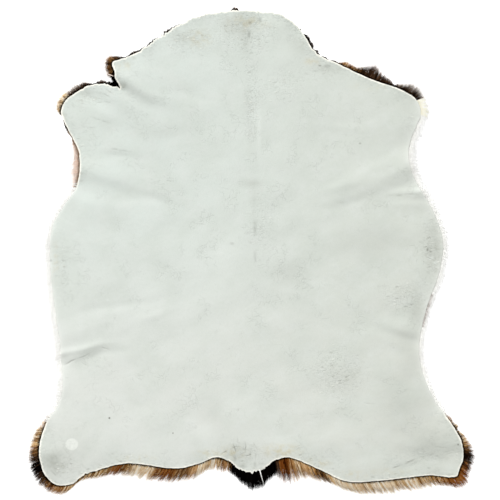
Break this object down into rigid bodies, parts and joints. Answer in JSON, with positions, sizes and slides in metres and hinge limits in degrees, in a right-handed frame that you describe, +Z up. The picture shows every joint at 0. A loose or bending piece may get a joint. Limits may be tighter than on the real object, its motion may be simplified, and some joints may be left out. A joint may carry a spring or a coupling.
{
  "type": "deer hide rug",
  "caption": "Whole deer hide rug lying hair side down: a tanned suede skin with soft folds over its coat of hair, whose locks fringe the cut edge.",
  "frame": {"origin": "on the floor, under the middle of the rug's overall length and width", "axes": "+Z up, +Y along the spine towards the neck, +X to the right seen from above with the neck up"},
  "size_m": [0.8818, 0.9748, 0.0234],
  "materials": {
    "suede": "matte tanned flesh side, pale grey-green",
    "hair": "natural deer hair, fawn with dark and white parts"
  },
  "bodies": {
    "root": {"skin": "suede", "coat": "hair"}
  },
  "joints": []
}
